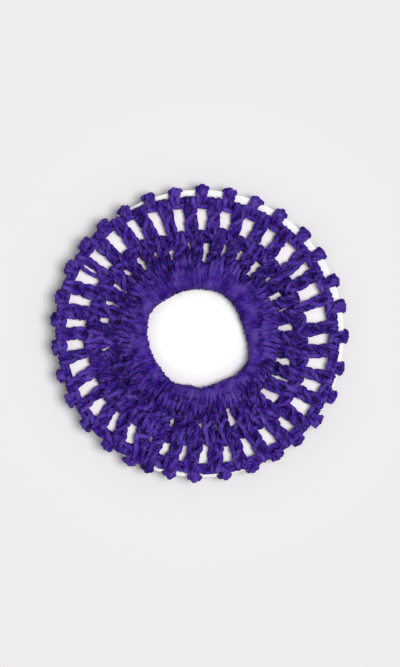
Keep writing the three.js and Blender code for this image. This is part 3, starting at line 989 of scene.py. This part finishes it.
def grow_fuzz():
    """Curled hairs that start inside the yarn."""
    sizes = np.array([len(s["points"]) for s in strands])
    which = rng.choice(len(strands), HAIRS, p=sizes / sizes.sum())
    ring = rng.integers(0, RING, HAIRS)
    share = rng.uniform(0.05, 0.95, HAIRS)
    roots, outs, alongs = [], [], []
    for number, corner, place in zip(which, ring, share):
        strand = strands[number]
        index = int(place * (len(strand["points"]) - 2))
        middle = strand["points"][index]
        roots.append(strand["rings"][index, corner])
        outs.append(strand["rings"][index, corner] - middle)
        alongs.append(strand["points"][index + 1] - middle)
    roots = np.array(roots)
    outs = unit(np.array(outs))
    alongs = unit(np.array(alongs))
    around = np.cross(outs, alongs)
    length = np.minimum(rng.gamma(4, 0.27 * MM, HAIRS), LONGEST_HAIR)[:, None]
    lean = rng.uniform(-MOST_LEAN, MOST_LEAN, (HAIRS, 2))
    first = unit(outs * OUTWARDS + alongs * lean[:, :1] + around * lean[:, 1:])
    curl = rng.uniform(-MOST_CURL, MOST_CURL, (HAIRS, 3))
    steps = np.linspace(0, 1, HAIR_STEPS)[None, :, None]
    path = roots[:, None] + length[:, None] * (first[:, None] * steps + curl[:, None] * steps**2)
    path[..., 2] = np.maximum(path[..., 2], ABOVE_FLOOR)
    side = unit(np.cross(first, curl))
    other = np.cross(first, side)
    turns = np.arange(HAIR_SIDES) * 2 * math.pi / HAIR_SIDES
    taper = HAIR_WIDTH / 2 * (1 - HAIR_TAPER * steps[..., None])
    section = (
        np.cos(turns)[None, None, :, None] * side[:, None, None]
        + np.sin(turns)[None, None, :, None] * other[:, None, None]
    )
    vertices = (path[:, :, None] + taper * section).reshape(-1, 3)
    quads = tube_faces(HAIR_STEPS, HAIR_SIDES)
    base = np.arange(HAIRS)[:, None, None, None] * HAIR_STEPS * HAIR_SIDES
    quads = (quads[None] + base).reshape(-1, 4)
    maps = np.repeat(rng.uniform(0, 40, (HAIRS, 2)), (HAIR_STEPS - 1) * HAIR_SIDES * 4, axis=0)
    # Painted light: the hairs go into the shade attribute mostly below nought, which lightens them.
    hair_painted_light = np.repeat(rng.uniform(-0.9, 0.1, HAIRS), HAIR_STEPS * HAIR_SIDES)
    return mesh_piece("fuzz", vertices, [quads], [maps], hair_painted_light)


fuzz = grow_fuzz()

# %% [markdown]
# ## Writing materials
# A material is a graph of nodes. Linking each by hand hides what is worked out, so a small class
# wraps a socket: an expression such as 0.5 - mask * 0.5 adds the Math nodes it needs. One method
# makes any other node.

# %% A socket that can be written in expressions
class Socket:
    """One output of a node, with arithmetic."""

    def __init__(self, graph, output):
        self.graph = graph
        self.output = output

    def maths(self, operation, *values):
        return self.graph.node("Math", {"operation": operation}, dict(enumerate(values)))

    def __add__(self, other):
        return self.maths("ADD", self, other)

    def __sub__(self, other):
        return self.maths("SUBTRACT", self, other)

    def __rsub__(self, other):
        return self.maths("SUBTRACT", other, self)

    def __mul__(self, other):
        return self.maths("MULTIPLY", self, other)

    __radd__ = __add__
    __rmul__ = __mul__


class Graph:
    """The nodes of one material."""

    def __init__(self, name):
        self.material = bpy.data.materials.new(name)
        self.material.use_nodes = True
        self.tree = self.material.node_tree
        self.tree.nodes.clear()
        self.place = self.node("TexCoord", {}, {}, "Object")

    def node(self, kind, settings=None, inputs=None, output=0):
        """Adds a node, sets it up and then fills or links its sockets."""
        made = self.tree.nodes.new("ShaderNode" + kind)
        for name, value in (settings or {}).items():
            if name == "stops":
                self.set_stops(made.color_ramp, value)
            else:
                setattr(made, name, value)
        for name, value in (inputs or {}).items():
            socket = made.inputs[name]
            if isinstance(value, Socket):
                self.tree.links.new(value.output, socket)
            else:
                socket.default_value = value
        return Socket(self, made.outputs[output]) if made.outputs else made

    @staticmethod
    def set_stops(ramp, stops):
        while len(ramp.elements) < len(stops):
            ramp.elements.new(0.5)
        for element, (position, colour) in zip(ramp.elements, stops):
            element.position = position
            element.color = (*colour, 1)

    def noise(self, scale, detail=2.0, output="Fac"):
        """Noise in space, with so many lumps to the metre."""
        return self.node("TexNoise", {}, {"Vector": self.place, "Scale": scale, "Detail": detail}, output)

    def way_out(self):
        """The way out from the middle of the disc, in metres."""
        return self.node("VectorMath", {"operation": "LENGTH"}, {0: self.place}, "Value")

    def finish(self, inputs):
        """Ends the graph in a surface with these inputs."""
        surface = self.node("BsdfPrincipled", {}, inputs)
        self.node("OutputMaterial", {}, {"Surface": surface})
        print(self.material.name, "nodes:", len(self.tree.nodes))
        return self.material


print("a socket adds, subtracts and multiplies")

# %% [markdown]
# ## The yarn's finish and painted shade
# Acrylic yarn has a soft sheen. Streaks along the strand vary the colour and give the bump, and a
# slower noise in space keeps any two stretches from being alike. Nearly black shade is painted
# between the plies, where a point lies deep under others and in the valley outside the mouth, and
# light is painted on the mouth's roll, by taking from or adding to the tone, which picks the purple
# from a ramp. Fine flecks turn the hue a little, most of all where shade is painted, and the
# brighter patches are less saturated.

# %% Dye the yarn and paint its shade
FIBRE_STRETCH = (15, 8, 1)
FIBRE_RELIEF = 0.4 * MM
PATCH_SCALE = 300.0
FLECK_SCALE = 800.0
DARK_PURPLE = (0.015, 0.0025, 0.084)
PURPLE = (0.044, 0.0125, 0.222)
LIGHT_PURPLE = (0.082, 0.028, 0.34)
PALE_PURPLE = (0.125, 0.048, 0.43)
# The ramp's dark end is reached mostly where shade is painted, and its pale end where light is painted.
DYE_AND_SHADE_STOPS = [(0.32, DARK_PURPLE), (0.48, PURPLE), (0.62, LIGHT_PURPLE), (0.95, PALE_PURPLE)]
SHEEN_TINT = (0.45, 0.32, 1.0, 1.0)

graph = Graph("purple_yarn")
strand_map = graph.node("UVMap", {"uv_map": "strand"})
around = graph.node("SeparateXYZ", {}, {"Vector": strand_map}, "X")
groove = 0.5 - 0.5 * graph.node("Math", {"operation": "COSINE"}, {0: around * (2 * math.pi * PLIES)})
stretched = graph.node("VectorMath", {"operation": "MULTIPLY"}, {0: strand_map, 1: FIBRE_STRETCH})
fibres = graph.node(
    "TexNoise",
    {"noise_dimensions": "2D"},
    {"Vector": stretched, "Scale": 1.0, "Detail": 3.0, "Roughness": 0.6},
)
patches = graph.noise(PATCH_SCALE, 1.0)
depth = graph.node("Attribute", {"attribute_name": "depth"}, {}, "Fac")
# Painted shade: darker in the grooves between the plies and where the attribute holds shade, lighter where it
# holds painted light.
tone_and_painted_shade = fibres * 0.95 + patches * 0.62 - 0.11 - 0.18 * groove - 0.36 * depth
colour = graph.node("ValToRGB", {"stops": DYE_AND_SHADE_STOPS}, {"Fac": tone_and_painted_shade})
flecks = graph.node("SeparateColor", {}, {"Color": graph.noise(FLECK_SCALE, output="Color")})
hue = 0.498 + (flecks - 0.5) * (0.06 + 0.1 * depth)
saturation = 1.13 - 0.27 * patches
dye_and_painted_shade = graph.node("HueSaturation", {}, {"Hue": hue, "Saturation": saturation, "Color": colour})
relief = fibres - 0.45 * groove
bump = graph.node("Bump", {}, {"Strength": 0.9, "Distance": FIBRE_RELIEF, "Height": relief})
yarn_surface = {
    "Base Color": dye_and_painted_shade,
    "Roughness": 0.75,
    "Normal": bump,
    "Sheen Weight": 0.08,
    "Sheen Roughness": 0.5,
    "Sheen Tint": SHEEN_TINT,
    "Specular IOR Level": 0.12,
}
yarn_material = graph.finish(yarn_surface)

# %% [markdown]
# ## The card's finish
# The disc is plain white board, bright and matt, with a faint grain. Under the net it looks
# greyer and a little purple, because the yarn shades each gap and throws its colour there. Light
# alone gives too little of that, so a ramp over the way out from the middle leaves the card
# white in the mouth and at the rim, and paints shade and a purple tinge of bounced light between.

# %% Paint the disc
WHITE = (0.885, 0.882, 0.875)
PAINTED_BOUNCE_TINGE = (0.893, 0.853, 0.872)
PAINTED_GAP_SHADE = (0.745, 0.685, 0.745)
GRAIN_SCALE = 900.0
GRAIN_RELIEF = 0.05 * MM
CLOUD_SCALE = 30.0
# White in the mouth and at the rim, painted shade under the inner mesh, and a painted tinge of bounced purple
# under the outer mesh.
CARD_TONES = [
    (0.3, WHITE), (0.45, PAINTED_GAP_SHADE), (0.68, PAINTED_GAP_SHADE), (0.75, PAINTED_BOUNCE_TINGE), (0.93, PAINTED_BOUNCE_TINGE), (0.97, WHITE),
]

graph = Graph("white_card")
grain = graph.noise(GRAIN_SCALE, 3.0)
clouds = graph.noise(CLOUD_SCALE)
share_out = graph.way_out() * (1 / DISC_RADIUS) + 0.08 * (clouds - 0.5)
card_colour = graph.node("ValToRGB", {"stops": CARD_TONES}, {"Fac": share_out})
card_bump = graph.node("Bump", {}, {"Strength": 0.15, "Distance": GRAIN_RELIEF, "Height": grain})
card_material = graph.finish({"Base Color": card_colour, "Roughness": 0.55, "Normal": card_bump})

# %% [markdown]
# ## Fastening the pieces
# The snood has no joint, so every piece rides on the one body. Each round of yarn takes the
# place of its solid, the fuzz is extra, and the disc keeps its solid and gets only the finish.

# %% Fasten the pieces to the body
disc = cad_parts["display_disc"]
for slot in disc.material_slots:
    slot.material = card_material

for name, node in STANDS_FOR.items():
    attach(pieces[name], "root")
    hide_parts(node)
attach(fuzz, "root")
for piece in (*pieces.values(), fuzz):
    piece.data.materials.append(yarn_material)
print("fastened:", len(pieces), "rounds of yarn and the fuzz")

# %% [markdown]
# ## The floor
# The object lies on a pale grey surface, with light painted on it close to the object, where the
# white card throws light on it. A plain grey would look too dark there.

# %% Lay the floor
FLOOR_SIZE = 3.0
FLOOR_GREY = 0.702
FLOOR_CHANNELS = (1.01, 0.993, 0.993)
FLOOR_PAINTED_LIGHT = ((0.52, 1.075), (0.56, 1.055), (0.65, 1.03), (0.85, 1.01), (1, 1))
FLOOR_REACH = 0.1
MOTTLE_SCALE = 12.0

bpy.ops.mesh.primitive_plane_add(size=FLOOR_SIZE, location=(0, 0, 0))
floor = bpy.context.object
floor.name = "pale_floor"
graph = Graph("pale_floor")
mottle = graph.noise(MOTTLE_SCALE)
share_out = graph.way_out() * (1 / FLOOR_REACH) + 0.02 * mottle
floor_tones = [
    (reach, [FLOOR_GREY * light * channel for channel in FLOOR_CHANNELS])
    for reach, light in FLOOR_PAINTED_LIGHT
]
floor_colour = graph.node("ValToRGB", {"stops": floor_tones}, {"Fac": share_out})
floor.data.materials.append(graph.finish({"Base Color": floor_colour, "Roughness": 0.9}))
floor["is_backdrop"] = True
print("floor:", FLOOR_SIZE, "m wide")

# %% [markdown]
# ## Light
# A wide soft light high on the right gives the soft shadow along the lower left, and an even
# white sky keeps the shadows open. Area lights would do, but a sun lights the floor evenly.

# %% Hang the lights
LIGHT_FROM = (0.33, -0.03, 0.95)
LIGHT_SPREAD = math.radians(28)
LIGHT_STRENGTH = 2.35
SKY_WHITE = (1, 1, 1, 1)
SKY_STRENGTH = 0.5

key_data = bpy.data.lights.new("key_light", "SUN")
key_data.angle = LIGHT_SPREAD
key_data.energy = LIGHT_STRENGTH
key_light = bpy.data.objects.new("key_light", key_data)
key_light.rotation_euler = Vector(LIGHT_FROM).to_track_quat("Z", "Y").to_euler()
bpy.context.scene.collection.objects.link(key_light)
world = bpy.data.worlds.new("studio")
world.use_nodes = True
sky = world.node_tree.nodes["Background"].inputs
sky["Color"].default_value = SKY_WHITE
sky["Strength"].default_value = SKY_STRENGTH
bpy.context.scene.world = world
bpy.context.scene.view_settings.view_transform = "Standard"
print("lights:", key_light.name, "and a", world.name, "sky")

# %% [markdown]
# ## Measure and finish
# The boxes of the solids and of the finished pieces are put side by side, and the size of the
# solids' box is printed.

# %% Measure and finish
[[list(corner) for corner in box] for box in (solid_box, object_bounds())]
print("solids:", [round(side / MM, 1) for side in solid_box[1] - solid_box[0]], "mm")
